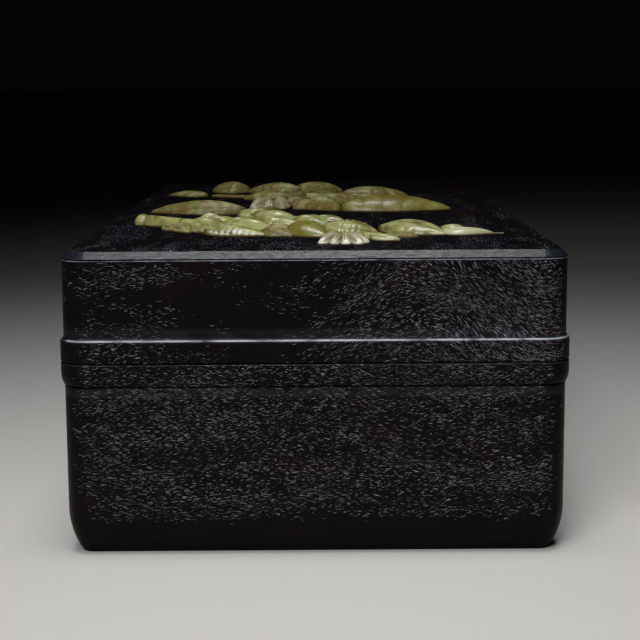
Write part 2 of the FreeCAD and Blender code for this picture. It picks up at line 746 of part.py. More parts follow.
def inlay():
    """The carved nodes fitted edge to edge, and the pockets that their roots need."""
    nodes, pockets, kept_free = {}, [], []
    groups = {**branches(), **blossoms(), **pods(), **front_leaves(), **middle_leaves(), **rear_leaves()}
    for name, group in groups.items():
        solids = []
        for piece in group:
            solid = piece.solid()
            beside = [
                prism for space in kept_free for prism in space.Solids if prism.BoundBox.intersect(solid.BoundBox)
            ]
            if beside:
                solid = max(solid.cut(beside).Solids, key=lambda part: part.Volume)
            solids.append(solid)
            kept_free.append(piece.footprint(inlay_gap))
            if piece.rooted():
                pockets.append(piece.root(root_clearance))
        nodes[name] = Part.Compound(solids)
    return nodes, pockets


# ---- assembly ---------------------------------------------------------------------------
def build():
    """All sub-parts by node name."""
    carved, pockets = inlay()
    nodes = {}
    nodes.update({f"base_{side}_wall": solid for side, solid in base_walls().items()})
    nodes["base_corner_keys"] = Part.Compound(corner_keys(*base_key_span()))
    nodes["bottom_panel"] = bottom_panel()
    nodes.update({f"lip_{side}": solid for side, solid in lip_strips().items()})
    nodes["stone_bed"] = stone_bed()
    nodes.update(tray_rails())
    nodes.update({f"lid_{side}_wall": solid for side, solid in lid_walls().items()})
    nodes["lid_corner_keys"] = Part.Compound(corner_keys(*lid_key_span()))
    nodes["lid_top_panel"] = top_panel(pockets)
    nodes["inkstone"] = inkstone()
    nodes.update(tray_boards())
    nodes["tray_floor"] = tray_floor()
    nodes.update(stick_racks())
    nodes["ink_stick_left"] = ink_stick(-stick_spacing / 2)
    nodes["ink_stick_right"] = ink_stick(stick_spacing / 2)
    nodes.update(carved)
    return nodes


def main():
    """Builds every sub-part and writes one STEP file for each."""
    os.makedirs("parts", exist_ok=True)
    for name, shape in build().items():
        solids = shape.Solids
        if not solids or not all(s.isValid() and s.Volume > 0 for s in solids):
            raise ValueError(f"{name} did not build as closed solids")
        whole = solids[0] if len(solids) == 1 else Part.Compound(solids)
        whole.exportStep(f"parts/{name}.step")
        print(f"{name:20s} {len(solids):2d} solids {sum(len(s.Faces) for s in solids):3d} faces")


if __name__ == "__main__":
    main()
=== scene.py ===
"""Ink stick and stone box: blackwood case with a raised spray of stone and shell on its lid.

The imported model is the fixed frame. This script gives every part of it a finish and
replaces the keyed-in stones of the lid by carved ones. All lengths in the classes are
millimetres, in the model's own frame; meshes are written in metres.
"""
from __future__ import annotations

import logging
import math
from dataclasses import dataclass
from enum import Enum
from typing import Any, Mapping, Sequence

import bmesh
import bpy
from mathutils import Matrix, Vector, noise


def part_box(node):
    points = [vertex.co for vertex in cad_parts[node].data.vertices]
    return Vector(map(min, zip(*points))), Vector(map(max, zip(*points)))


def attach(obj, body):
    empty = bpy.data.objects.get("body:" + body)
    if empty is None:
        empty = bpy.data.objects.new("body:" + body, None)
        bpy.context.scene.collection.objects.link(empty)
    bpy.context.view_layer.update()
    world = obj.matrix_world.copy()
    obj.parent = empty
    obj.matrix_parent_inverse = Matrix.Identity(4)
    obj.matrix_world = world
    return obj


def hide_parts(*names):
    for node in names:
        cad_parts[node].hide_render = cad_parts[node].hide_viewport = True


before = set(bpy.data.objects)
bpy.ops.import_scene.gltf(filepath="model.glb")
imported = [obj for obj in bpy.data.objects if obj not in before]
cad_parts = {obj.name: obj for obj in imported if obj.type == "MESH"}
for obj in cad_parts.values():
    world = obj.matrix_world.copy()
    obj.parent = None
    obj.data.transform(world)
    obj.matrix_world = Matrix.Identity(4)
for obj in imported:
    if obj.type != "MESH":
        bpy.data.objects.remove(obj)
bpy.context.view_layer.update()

LOG = logging.getLogger("ink_box")
MM = 0.001
BAND_ABOVE = 4.7  # height of the raised band over the seam, in millimetres
SEAM_EDGE = 0.12  # from the lid's lower edge to the middle of the base's pale arris: worn, and a painted highlight
TOP_EDGE = 0.16  # from the lid wall's top to the middle of its pale arris: worn, and a painted highlight
BEVEL_FOOT = 0.2  # height of the panel's square edge under its bevel
Colour = tuple[float, float, float]
Point = tuple[float, float]


# ---------------------------------------------------------------- shader expressions


class Wire:
    """A shader socket that takes part in Python arithmetic."""

    def __init__(self, shade: "Shade", socket: bpy.types.NodeSocket) -> None:
        """Keeps the socket and the shade that it belongs to."""
        self.shade = shade
        self.socket = socket

    def _math(self, operation: str, *values: Any) -> "Wire":
        """Adds a Math node that works on the given values."""
        return self.shade.node("ShaderNodeMath", {"operation": operation}, dict(enumerate(values)))

    def also(self, name: str) -> "Wire":
        """Another output of the node that this socket belongs to."""
        return Wire(self.shade, self.socket.node.outputs[name])

    def __add__(self, other: Any) -> "Wire":
        """self + other"""
        return self._math("ADD", self, other)

    def __sub__(self, other: Any) -> "Wire":
        """self - other"""
        return self._math("SUBTRACT", self, other)

    def __rsub__(self, other: Any) -> "Wire":
        """other - self"""
        return self._math("SUBTRACT", other, self)

    def __mul__(self, other: Any) -> "Wire":
        """self * other"""
        return self._math("MULTIPLY", self, other)

    def __truediv__(self, other: Any) -> "Wire":
        """self / other"""
        return self._math("DIVIDE", self, other)

    def __abs__(self) -> "Wire":
        """abs(self)"""
        return self._math("ABSOLUTE", self)

    __radd__ = __add__
    __rmul__ = __mul__

    def sine(self) -> "Wire":
        """The sine of the value, in radians."""
        return self._math("SINE", self)

    def least(self, other: Any) -> "Wire":
        """The smaller of the two values."""
        return self._math("MINIMUM", self, other)

    def most(self, other: Any) -> "Wire":
        """The larger of the two values."""
        return self._math("MAXIMUM", self, other)

    def rise(self, start: Any, end: Any) -> "Wire":
        """A smooth step from 0 at start to 1 at end.

        Args:
            start: value at which the step begins.
            end: value at which it has reached 1; it may be below start.

        Returns:
            The step as a new socket.
        """
        return self.shade.node(
            "ShaderNodeMapRange",
            {"interpolation_type": "SMOOTHSTEP", "clamp": True},
            {"Value": self, "From Min": start, "From Max": end, "To Min": 0.0, "To Max": 1.0},
        )


class Shade:
    """A procedural material and the expressions that feed its shader."""

    def __init__(self, name: str) -> None:
        """Starts a material whose Principled shader waits for its inputs.

        Args:
            name: the material's name.
        """
        self.material = bpy.data.materials.new(name)
        self.material.use_nodes = True
        self.tree = self.material.node_tree
        self.shader = self.tree.nodes["Principled BSDF"]

    def node(
        self,
        kind: str,
        settings: Mapping[str, Any] | None = None,
        inputs: Mapping[Any, Any] | None = None,
        out: str | int = 0,
    ) -> Wire:
        """Adds one node.

        Args:
            kind: the node's type.
            settings: its own settings, set before any socket.
            inputs: socket name or number to a value or a Wire.
            out: the output to hand back.

        Returns:
            The wanted output.
        """
        made = self.tree.nodes.new(kind)
        for name, value in (settings or {}).items():
            setattr(made, name, value)
        for name, value in (inputs or {}).items():
            self.feed(made.inputs[name], value)
        return Wire(self, made.outputs[out])

    def feed(self, socket: bpy.types.NodeSocket, value: Any) -> None:
        """Links a Wire to the socket, or sets the socket to a plain value.

        Args:
            socket: the input to feed.
            value: a Wire, a number, a vector, or a colour of three parts.
        """
        if isinstance(value, Wire):
            self.tree.links.new(value.socket, socket)
        elif isinstance(value, tuple) and len(value) == 3 and socket.type == "RGBA":
            socket.default_value = (*value, 1.0)
        else:
            socket.default_value = value

    def place(self, scale: float = 1 / MM, shift: Sequence[float] = (0, 0, 0)) -> Wire:
        """Object coordinates, in millimetres unless scaled otherwise, and shifted.

        Args:
            scale: units to the metre.
            shift: what is added afterwards.

        Returns:
            The coordinates.
        """
        where = self.node("ShaderNodeTexCoord", out="Object")
        return self.node(
            "ShaderNodeMapping",
            {"vector_type": "POINT"},
            {"Vector": where, "Scale": (scale,) * 3, "Location": tuple(shift)},
        )

    def axes(self, vector: Wire) -> tuple[Wire, Wire, Wire]:
        """The three parts of a vector."""
        first = self.node("ShaderNodeSeparateXYZ", inputs={0: vector}, out="X")
        return first, first.also("Y"), first.also("Z")

    def vector(self, x: Any, y: Any, z: Any) -> Wire:
        """A vector from its three parts."""
        return self.node("ShaderNodeCombineXYZ", inputs={0: x, 1: y, 2: z})

    def noise(self, vector: Wire, scale: float, detail: float = 2.0, rough: float = 0.5) -> Wire:
        """Smooth noise from 0 to 1.

        Args:
            vector: the place.
            scale: waves to the unit.
            detail: how many finer layers are added.
            rough: strength of each finer layer against the one before.

        Returns:
            The noise.
        """
        return self.node(
            "ShaderNodeTexNoise",
            {"noise_dimensions": "3D"},
            {"Vector": vector, "Scale": scale, "Detail": detail, "Roughness": rough},
            out="Fac",
        )

    def waves(self, place: Sequence[Wire], sizes: Sequence[float], detail: float = 2.0,
              rough: float = 0.5) -> Wire:
        """Smooth noise whose waves have a size of their own along each axis."""
        return self.noise(self.vector(*(part / size for part, size in zip(place, sizes))), 1.0, detail, rough)

    def cells(self, vector: Wire) -> Wire:
        """Distance to the nearest scattered point, one point to a unit cell."""
        settings = {"voronoi_dimensions": "3D", "feature": "F1"}
        return self.node("ShaderNodeTexVoronoi", settings, {"Vector": vector, "Scale": 1.0}, out="Distance")

    def mix(self, amount: Any, low: Any, high: Any) -> Wire:
        """A colour between low and high."""
        settings = {"data_type": "RGBA", "blend_type": "MIX", "clamp_factor": True}
        return self.node("ShaderNodeMix", settings, {0: amount, 6: low, 7: high}, out=2)

    def bump(self, height: Wire, depth: float) -> Wire:
        """A normal that stands for small relief of the given depth in millimetres."""
        return self.node("ShaderNodeBump", inputs={"Height": height, "Distance": depth * MM, "Strength": 1.0})

    def finish(self, **inputs: Any) -> bpy.types.Material:
        """Feeds the shader.

        Args:
            **inputs: values or Wires, by socket, with underscores for the spaces of its name.

        Returns:
            The finished material.
        """
        for name, value in inputs.items():
            self.feed(self.shader.inputs[name.replace("_", " ")], value)
        return self.material


# ---------------------------------------------------------------- finishes


class Lie(Enum):
    """How a board lies: the axis of its grain, the axis across it, and the axis of its face."""

    END_WALL = (0, 2, 1)
    SIDE_WALL = (1, 2, 0)
    TOP = (1, 0, 2)


@dataclass(frozen=True)
class PoreSet:
    """One set of pores, each an ellipsoid in a stretched cell of its own.

    length and width are a pore's, in millimetres. skew shifts each row along the next,
    so that pores never line up, and shift sets the whole set apart from the others.
    sparse is added to the share that is left out, and strength scales the rest.
    """

    length: float
    skew: float
    shift: tuple[float, float, float] = (0.0, 0.0, 0.0)
    sparse: float = 0.0
    strength: float = 1.0
    width: float = 0.044

    PITCH = 2.3  # a cell's size against its pore's
    DEPTH = 1.6  # a cell's size into the board, in millimetres
    RIM = 0.26  # how far a pore reaches from its cell's point, in cells
    CORE = 0.17  # how far its palest part reaches

    def mask(self, shade: Shade, place: Sequence[Wire], share: Wire) -> Wire:
        """The set's pores, from 0 between them to 1 inside the palest.

        Args:
            shade: the material.
            place: place along, across and into the board in millimetres, already bent.
            share: share of the pores that is left out.

        Returns:
            The mask of the pores.
        """
        along, across, into = (part + shift for part, shift in zip(place, self.shift))
        near = shade.cells(shade.vector(
            along / (self.PITCH * self.length) + across * self.skew,
            across / (self.PITCH * self.width),
            into / self.DEPTH + across * 0.31,
        ))
        kept, bright, _ = shade.axes(near.also("Color"))
        shown = (kept - (share + self.sparse)).rise(0.0, 0.06)
        return near.rise(self.RIM, self.CORE) * shown * (bright * 0.90 + 0.14) * self.strength


@dataclass(frozen=True)
class Blackwood:
    """Oiled blackwood with open, pale-filled pores that follow a wavy grain.

    Lengths are millimetres. sway bends the grain in one long wave along the board,
    swirl bends it at random. thin is the share of pores left out, and thin_slope by how
    much that share falls per millimetre along the board from thin_start on. Few are
    left towards the arrises, within plain_edge of half_length, below plain_foot, and
    round the place clear. mist is how much of the pores' colour lies over the rest.
    rubbed lists the heights of bands along the arrises that are painted pale, partly as
    worn edges and partly as painted highlight and reflection, each with its half width
    and strength. bevel is the lowest and highest point of a polished bevel; gloss is
    how much the rest of the board shines.
    """

    name: str
    lie: Lie
    half_length: float
    seed: float = 0.0
    sway: float = 0.0
    sway_length: float = 70.0
    sway_start: float = 0.0
    swirl: float = 1.2
    thin: float = 0.50
    thin_slope: float = 0.0
    thin_start: float = -12.0
    mist: float = 0.012
    clear: tuple[float, float] | None = None
    plain_edge: float = 4.0
    plain_foot: float = 0.0
    worn_and_lit_bands: tuple[tuple[float, float, float], ...] = ()
    gloss: float = 0.05
    bevel: tuple[float, float] | None = None

    HEART: Colour = (0.0038, 0.0037, 0.0047)
    RUST: Colour = (0.0082, 0.0039, 0.0043)
    PORE: Colour = (0.460, 0.462, 0.510)
    # Colour of the pale edges: partly worn, partly painted highlight.
    WORN_AND_LIT: Colour = (0.360, 0.362, 0.410)
    SHEEN: Colour = (0.010, 0.012, 0.017)
    POLISH: Colour = (0.88, 0.92, 1.0)
    SEED_STEP: tuple[float, float, float] = (37.0, 53.0, 29.0)  # how far one seed lies from the next
    SWAY_GROWS: Point = (-16.0, 4.0)  # the stretch along the board over which its long wave sets in
    PORE_SETS = (
        PoreSet(1.05, 0.83),
        PoreSet(0.60, -1.17, shift=(411.0, 97.0, 0.0)),
        PoreSet(0.38, 1.61, shift=(211.0, 53.0, 9.0), sparse=0.1, strength=0.8),
    )

    def bend(self, shade: Shade, place: Sequence[Wire], here: Wire, swirl: Wire) -> Wire:
        """The place across the board, bent as the grain is.

        Args:
            shade: the material.
            place: place along, across and into the board.
            here: place along the board from its middle.
            swirl: the noise that bends the grain.

        Returns:
            The bent place across.
        """
        wobble = shade.waves(place, (3.4, 2.6, 3.4), 1.0)
        turn = 2 * math.pi / self.sway_length
        wave: Any = ((here - self.sway_start) * turn).sine() * self.sway
        if self.sway:
            wave = wave * here.rise(*self.SWAY_GROWS)
        return place[1] + (swirl - 0.5) * (6 * self.swirl) + (wobble - 0.5) * 0.5 + wave

    def left_out(self, shade: Shade, place: Sequence[Wire], here: Wire, height: Wire, swirl: Wire) -> Wire:
        """The share of the pores that is left out at each place.

        Args:
            shade: the material.
            place: place along, across and into the board, already bent.
            here: place along the board from its middle.
            height: height over the floor.
            swirl: the noise that bends the grain.

        Returns:
            The share, from 0 for all pores to 1 for none.
        """
        patch = shade.waves(place, (16.0, 3.4, 16.0))
        share = (0.52 - patch) * 1.3 + self.thin - here.most(self.thin_start) * self.thin_slope
        if self.clear:
            middle, reach = self.clear
            away = abs(here - middle + (swirl - 0.5) * 16.0)
            share = share + away.rise(reach, reach * 0.4) * 0.28
        limit = self.half_length - self.plain_edge
        share = share + abs(here).rise(limit - 2.0, limit + 4.0) * 0.6
        if self.plain_foot:
            share = share + height.rise(self.plain_foot + 4.0, self.plain_foot - 2.0) * 0.8
        return share

    def wear_and_highlight(self, shade: Shade, place: Sequence[Wire], height: Wire) -> Any:
        """How much each place is painted pale, partly as worn edges and partly as painted highlight.

        Args:
            shade: the material.
            place: place along, across and into the board, already bent.
            height: height over the floor.

        Returns:
            The paleness as a Wire, or 0 where nothing is painted pale.
        """
        worn: Any = 0.0
        for level, half, strength in self.worn_and_lit_bands:
            ragged = shade.waves(place, (7.0, 2.0, 7.0), 3.0).rise(0.22, 0.62)
            worn = (abs(height - level).rise(half, half * 0.3) * (ragged * strength)).most(worn)
        return worn

    def make(self) -> bpy.types.Material:
        """Builds the material.

        Returns:
            The material.
        """
        shade = Shade(self.name)
        place = shade.axes(shade.place(shift=[self.seed * step for step in self.SEED_STEP]))
        plain = shade.axes(shade.place())
        board = along, across, into = tuple(place[axis] for axis in self.lie.value)
        here, height = plain[self.lie.value[0]], plain[2]
        swirl = shade.waves(board, (17.0, 10.0, 17.0), 1.5)
        grain = (along, self.bend(shade, board, here, swirl), into)
        share = self.left_out(shade, grain, here, height, swirl)
        pores, *others = (pore_set.mask(shade, grain, share) for pore_set in self.PORE_SETS)
        for other in others:
            pores = pores.most(other)
        haze = shade.waves(grain, (9.0, 0.24, 4.0), 2.0, 0.6)
        rust = shade.waves(grain, (22.0, 7.0, 9.0)).rise(0.56, 0.76)
        grit = shade.waves(board, (0.35, 0.16, 0.2), 2.0, 0.6)
        body = shade.mix(rust, self.HEART, self.RUST)
        body = shade.mix(haze.rise(0.45, 0.90) * self.mist, body, self.PORE)
        body = shade.mix(pores, body, self.PORE)
        shine = self.wear_and_highlight(shade, grain, height)
        # Pale bands on the edges: partly worn, partly painted highlight and reflection.
        if self.worn_and_lit_bands:
            body = shade.mix(shine * (grit * 0.8 + 0.6), body, self.WORN_AND_LIT)
        if self.bevel:
            low, high = self.bevel
            polished = height.rise(low - 0.05, low + 0.05) * height.rise(high, high - 0.10)
            body = shade.mix(polished * (grit * 0.8 + 0.5), body, self.SHEEN)
            streak = shade.waves((across, along, into), (1.8, 0.3, 0.3), 3.0, 0.65)
            shine = polished * ((streak - 0.5) * 1.3 + (grit - 0.5) * 0.8 + 0.35)
        return shade.finish(
            Base_Color=body,
            Roughness=haze * 0.10 + grit * 0.10 + pores * 0.25 + 0.30,
            Normal=shade.bump(grit * 0.30 - pores, 0.010),
            IOR=1.5,
            Specular_IOR_Level=self.gloss,
            Coat_Weight=shine,
            Coat_Roughness=0.30,
            Coat_Tint=self.POLISH,
        )


@dataclass(frozen=True)
class Stone:
    """Polished carved stone, clouded in several tones.

    The colour attribute "carve" holds, per place, how pale it is, partly the stone's own
    cream and partly painted highlight, its tint (from -1, pale, to 1, the other tone) and
    how much it is stained, partly brown in its grooves and partly painted shade in
    creases, along outlines, at roots and at feet. Patches of blush and jade lie over the
    body, each cloud millimetres across, and glint is the white of the painted highlights
    on the brightest raised parts and of the palest tint.
    """

    name: str
    body: Colour
    other: Colour
    pale: Colour
    stain_and_shade: Colour
    blush: Colour = (0.36, 0.275, 0.165)
    jade: Colour = (0.16, 0.24, 0.075)
    glint: Colour = (0.72, 0.74, 0.70)
    cloud: float = 3.6

    def make(self) -> bpy.types.Material:
        """Builds the material.

        Returns:
            The material.
        """
        shade = Shade(self.name)
        place = shade.place()
        carve = shade.node("ShaderNodeAttribute", {"attribute_name": "carve"}, out="Color")
        pale_and_highlight, tint, cut = shade.axes(carve)
        cloud = shade.noise(place, 1.0 / self.cloud, 3.0, 0.55)
        veil = shade.noise(shade.place(shift=(31.0, 17.0, 5.0)), 1.25 / self.cloud, 2.0, 0.5)
        fleck = shade.noise(place, 1.5, 2.0, 0.6)
        brown = tint.most(0.0)
        colour = shade.mix((cloud - 0.5) * 4.4 + tint * 0.9 + 0.32, self.body, self.other)
        colour = shade.mix(veil.rise(0.54, 0.66) * 0.45, colour, self.blush)
        colour = shade.mix(veil.rise(0.45, 0.34) * 0.50, colour, self.jade)
        colour = shade.mix(tint.rise(-0.7, -1.0) * 0.5, colour, self.glint)
        # lit: paler raised parts and front margins, partly the stone's own cream, partly painted light.
        lit = pale_and_highlight * (fleck * 0.8 + 0.40) * (1.0 - brown * 0.8) - tint.least(0.0) * 0.45
        colour = shade.mix(lit.rise(0.14, 0.95) * 0.72, colour, self.pale)
        # bright: painted highlights in the glint colour.
        bright = pale_and_highlight * (fleck * 0.8 + 0.5) - brown * 0.5
        colour = shade.mix(bright.rise(0.62, 0.95) * 0.9, colour, self.glint)
        # Stained where cut in: partly brown in the grooves, partly painted shade.
        colour = shade.mix((cut * (fleck * 0.6 + 0.8)).rise(0.12, 0.80) * 0.95, colour, self.stain_and_shade)
        return shade.finish(
            Base_Color=colour,
            Roughness=fleck * 0.14 + cut * 0.25 + brown * 0.14 + 0.26,
            Normal=shade.bump(fleck, 0.03),
            IOR=1.5,
            Specular_IOR_Level=0.28,
            Coat_Weight=0.34 - brown * 0.30,
            Coat_Roughness=0.16,
        )


STONES = (
    Stone("olive_stone", body=(0.31, 0.31, 0.105), other=(0.140, 0.105, 0.022), pale=(0.44, 0.45, 0.24),
          stain_and_shade=(0.095, 0.045, 0.012)),
    Stone("green_stone", body=(0.285, 0.295, 0.100), other=(0.132, 0.106, 0.026), pale=(0.44, 0.45, 0.26),
          stain_and_shade=(0.085, 0.048, 0.012)),
    Stone("amber_stone", body=(0.185, 0.172, 0.034), other=(0.125, 0.092, 0.014), pale=(0.42, 0.42, 0.22),
          stain_and_shade=(0.100, 0.044, 0.010), blush=(0.24, 0.18, 0.06), jade=(0.16, 0.19, 0.04)),
    Stone("cream_shell", body=(0.36, 0.335, 0.21), other=(0.26, 0.21, 0.12), pale=(0.52, 0.51, 0.37),
          stain_and_shade=(0.130, 0.070, 0.024)),
)


@dataclass(frozen=True)
class PlainWood:
    """Straight-grained brown wood of the lining and the tray."""

    name: str
    early: Colour = (0.155, 0.078, 0.042)
    late: Colour = (0.062, 0.028, 0.016)

    def make(self) -> bpy.types.Material:
        """Builds the material.

        Returns:
            The material.
        """
        shade = Shade(self.name)
        place = x, y, z = shade.axes(shade.place())
        wave = shade.waves(place, (30.0, 60.0, 30.0))
        rings = ((x + z * 0.6 + wave * 22.0) * 1.15).sine() * 0.5 + 0.5
        fibre = shade.waves(place, (0.5, 11.0, 0.5), 3.0, 0.6)
        body = shade.mix(rings * 0.55 + fibre * 0.35, self.early, self.late)
        pores = shade.cells(shade.vector(x / 0.8, y / 5.0, z / 0.8)).rise(0.24, 0.12)
        body = shade.mix(pores * 0.6, body, self.late)
        return shade.finish(
            Base_Color=body,
            Roughness=fibre * 0.16 + 0.36,
            Normal=shade.bump(fibre * 0.5 - pores, 0.03),
        )


@dataclass(frozen=True)
class Slate:
    """Fine purple-grey inkstone, smooth where ink is ground and cloudy with old ink."""

    name: str
    body: Colour = (0.060, 0.052, 0.056)
    vein: Colour = (0.105, 0.098, 0.092)
    ink: Colour = (0.010, 0.010, 0.012)

    def make(self) -> bpy.types.Material:
        """Builds the material.

        Returns:
            The material.
        """
        shade = Shade(self.name)
        place = shade.place()
        x, y, z = shade.axes(place)
        cloud = shade.waves((x, y, z), (18.0, 26.0, 5.0), 4.0, 0.6)
        speck = shade.cells(shade.place(1.4 / MM))
        low, high = (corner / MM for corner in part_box("inkstone"))
        wet = (z + cloud * 3.0).rise(high.z - 1.0, high.z - 5.0) * y.rise(low.y + 60.0, high.y - 20.0)
        body = shade.mix(cloud.rise(0.4, 0.7), self.body, self.vein)
        body = shade.mix(speck.rise(0.22, 0.10) * 0.4, body, self.vein)
        body = shade.mix(wet * 0.8, body, self.ink)
        return shade.finish(
            Base_Color=body,
            Roughness=cloud * 0.2 + 0.38,
            Normal=shade.bump(shade.noise(place, 2.5, 4.0), 0.02),
        )


@dataclass(frozen=True)
class PressedInk:
    """Moulded ink stick: blue-black, with a plain gilt frame line round its upper face."""

    name: str
    ink: Colour = (0.012, 0.012, 0.015)
    bloom: Colour = (0.034, 0.034, 0.042)
    gilt: Colour = (0.62, 0.40, 0.13)
    margin: float = 2.6
    line: float = 0.45

    def make(self) -> bpy.types.Material:
        """Builds the material.

        Returns:
            The material.
        """
        shade = Shade(self.name)
        place = shade.place()
        x, y, z = shade.axes(place)
        low, high = (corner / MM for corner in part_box("ink_stick_right"))
        centre, half = (low + high) / 2, (high - low) / 2
        beside = abs(abs(x) - centre.x) - (half.x - self.margin)
        beyond = abs(y - centre.y) - (half.y - self.margin)
        off = abs(beside.most(beyond))
        worn = shade.noise(place, 0.9, 3.0).rise(0.28, 0.42)
        line = off.rise(self.line, self.line - 0.15) * z.rise(high.z - 0.3, high.z - 0.2) * worn
        bloom = shade.noise(place, 0.16, 4.0).rise(0.45, 0.8)
        body = shade.mix(bloom, self.ink, self.bloom)
        return shade.finish(
            Base_Color=shade.mix(line, body, self.gilt),
            Metallic=line * 0.9,
            Roughness=bloom * 0.2 + 0.34,
            Normal=shade.bump(shade.noise(place, 1.2, 3.0), 0.03),
        )


# ---------------------------------------------------------------- carved stones


class Form(Enum):
    """Kinds of carved stone."""

    LEAF = "leaf"
    RIDGED = "ridged"
    PETAL = "petal"
    ROD = "rod"
    POD = "pod"
    BUD = "bud"


def pulse(value: float, centre: float, width: float) -> float:
    """A bell curve of height 1 round a centre."""
    return math.exp(-(((value - centre) / width) ** 2))


@dataclass(frozen=True)
class Cut:
    """One carved form: a spine on the lid, and the relief that stands over it.

    root, length, width, height and bend are millimetres and heading is degrees from
    the lid's +X. bend bows the spine sideways, lean raises one side over the other
    and lift raises the whole form off the panel where it lies on others. tint runs
    from -1, pale, to 1, brown. beads is 1 for beads along the front edge and -1 for
    teeth along the crown, and knots is the number of swellings along a pod.
    """

    root: Point
    heading: float
    length: float
    width: float
    height: float
    bend: float = 0.0
    form: Form = Form.LEAF
    lean: float = 0.0
    lift: float = 0.0
    tint: float = 0.0
    beads: float = 0.0
    knots: int = 0

    EDGE = 0.28  # height of a form's outline over the panel
    TEETH = 10  # beads or teeth to a form

    def half_width(self, t: float) -> float:
        """Half the width at one place along the form.

        Args:
            t: from 0 at the root to 1 at the tip.

        Returns:
            Half the width in millimetres.
        """
        if self.form is Form.ROD:
            share = (1.0 - 0.34 * t) * (1 + 0.14 * pulse(t, 0.0, 0.07) + 0.08 * pulse(t, 0.56, 0.04))
            share *= min(1.0, math.sqrt(max(0.0, t * 15))) * min(1.0, math.sqrt(max(0.0, (1 - t) * 15)))
        elif self.form is Form.POD:
            share = math.sin(math.pi * t**0.92) ** 0.60
        elif self.form is Form.PETAL:
            share = (0.42 + 0.58 * t**0.8) * math.sqrt(max(0.0, 1 - t**7)) * min(1.0, math.sqrt(t * 12))
        elif self.form is Form.BUD:
            share = math.sin(math.pi * t**0.58) ** 1.25
        else:
            share = 1.12 * math.sin(math.pi * t**0.84) ** 0.88
            share *= 1 + 0.15 * self.drift(t * self.length / 2.6, 0.0)
        if self.beads:
            share *= 0.96 + 0.06 * self.bead(t)
        return self.width / 2 * max(share, 0.0)

    def drift(self, x: float, y: float) -> float:
        """Hand-made unevenness, from about -1 to 1, that differs from form to form."""
        return noise.noise(Vector((x, y, self.root[0] * 1.7 + self.root[1])))

    def bead(self, t: float) -> float:
        """The row of beads along an edge, 1 on a bead and 0 between two."""
        return abs(math.sin(math.pi * t * self.TEETH)) ** 0.7

    def rise(self, t: float, c: float) -> tuple[float, float, float]:
        """The relief at one place.

        Args:
            t: from 0 at the root to 1 at the tip.
            c: from -1 at one side to 1 at the other.

        Returns:
            Height over the panel in millimetres, then paleness, partly painted highlight, and
            staining, partly painted shade, the last two from 0 to 1.
        """
        size = abs(c)
        near = c if math.cos(math.radians(self.heading)) < 0 else -c  # 1 on the side towards the front
        along = math.sin(math.pi * (0.07 + 0.93 * t) ** 0.9) ** 0.70 if t < 1 else 0.0
        crown = max(0.0, 1 - size**2.3) ** 0.85
        carve = {
            Form.LEAF: self.leaf,
            Form.RIDGED: self.ridged,
            Form.PETAL: self.petal,
            Form.ROD: self.rod,
            Form.POD: self.pod,
            Form.BUD: self.bud,
        }[self.form]
        body, pale_and_highlight, cut = carve(t, near)
        # The outline is stained: partly brown, partly painted shade where the form meets the panel.
        cut += 0.35 * pulse(size, 1.0, 0.04)
        if self.form is Form.ROD:
            along = min(1.0, 12 * t + 0.25) ** 0.5 * min(1.0, 12 * (1 - t) + 0.1) ** 0.5 * (1 - 0.25 * t)
        if self.beads:
            row, half, relief, pale = (0.84, 0.10, 0.08, 1.0) if self.beads > 0 else (0.34, 0.09, 0.16, 0.2)
            bead = pulse(near * self.beads, row, half) * math.sin(math.pi * t) ** 0.3
            body += relief * bead * (self.bead(t) - 0.5)
            # Paler beads, partly painted highlight, and stained gaps between, partly painted shade.
            pale_and_highlight += pale * bead * self.bead(t) * (1 + 0.6 * self.drift(t * 3, 2.0))
            cut += 0.5 * bead * (1 - self.bead(t))
        body += 0.028 * self.drift(t * self.length / 4.0, c * self.width / 4.0) * crown
        tall = (self.height - self.EDGE) * (1 + self.lean * c)
        high = self.lift + self.EDGE + tall * along * max(crown + body, 0.0)
        return high, min(pale_and_highlight, 1.0), min(cut, 1.0)

    def glint(self, t: float, near: float, where: float) -> float:
        """A painted highlight on a polished form, which moves along it from form to form."""
        spot = 0.42 + 0.22 * self.drift(self.length, where * 3)
        return pulse(t, spot, 0.16) * pulse(near, where, 0.15)

    def lobes(self, place: float) -> tuple[float, float]:
        """Rounded lobes side by side, one to a unit of place: their height, and the creases between."""
        lobe = abs(math.sin(math.pi * place)) ** 0.60
        return lobe, (1 - lobe) ** 2

    def leaf(self, t: float, near: float) -> tuple[float, float, float]:
        """A leaf in lobes that sweep towards its front margin.

        Args:
            t: from 0 at the root to 1 at the tip.
            near: from -1 at the side towards the back to 1 towards the front.

        Returns:
            What the relief adds to a plain crown, paleness with painted highlight, and staining.
        """
        sweep = 0.62 * (t - 0.5) + 0.30 * self.drift(0.0, 4.0) + 0.10 * self.drift(t * self.length / 3, 7.0)
        lobe, crease = self.lobes(1.30 * near - sweep)
        body = 0.20 * (lobe - 1)
        # Paler front margin and lobe tops, partly cream edge and partly painted light from the front; the
        # glint is a painted highlight.
        front = pulse(near, 0.86, 0.10)
        pale_and_highlight = 0.34 * lobe * (0.6 + 0.4 * near) + 0.46 * front + 0.66 * self.glint(t, near, 0.40)
        # Creases and the root are stained: partly brown, partly painted shade.
        cut = crease * (0.35 + 0.65 * t) + 0.7 * pulse(t, 0.0, 0.08)
        return body, pale_and_highlight * min(1.0, 6 * t), cut

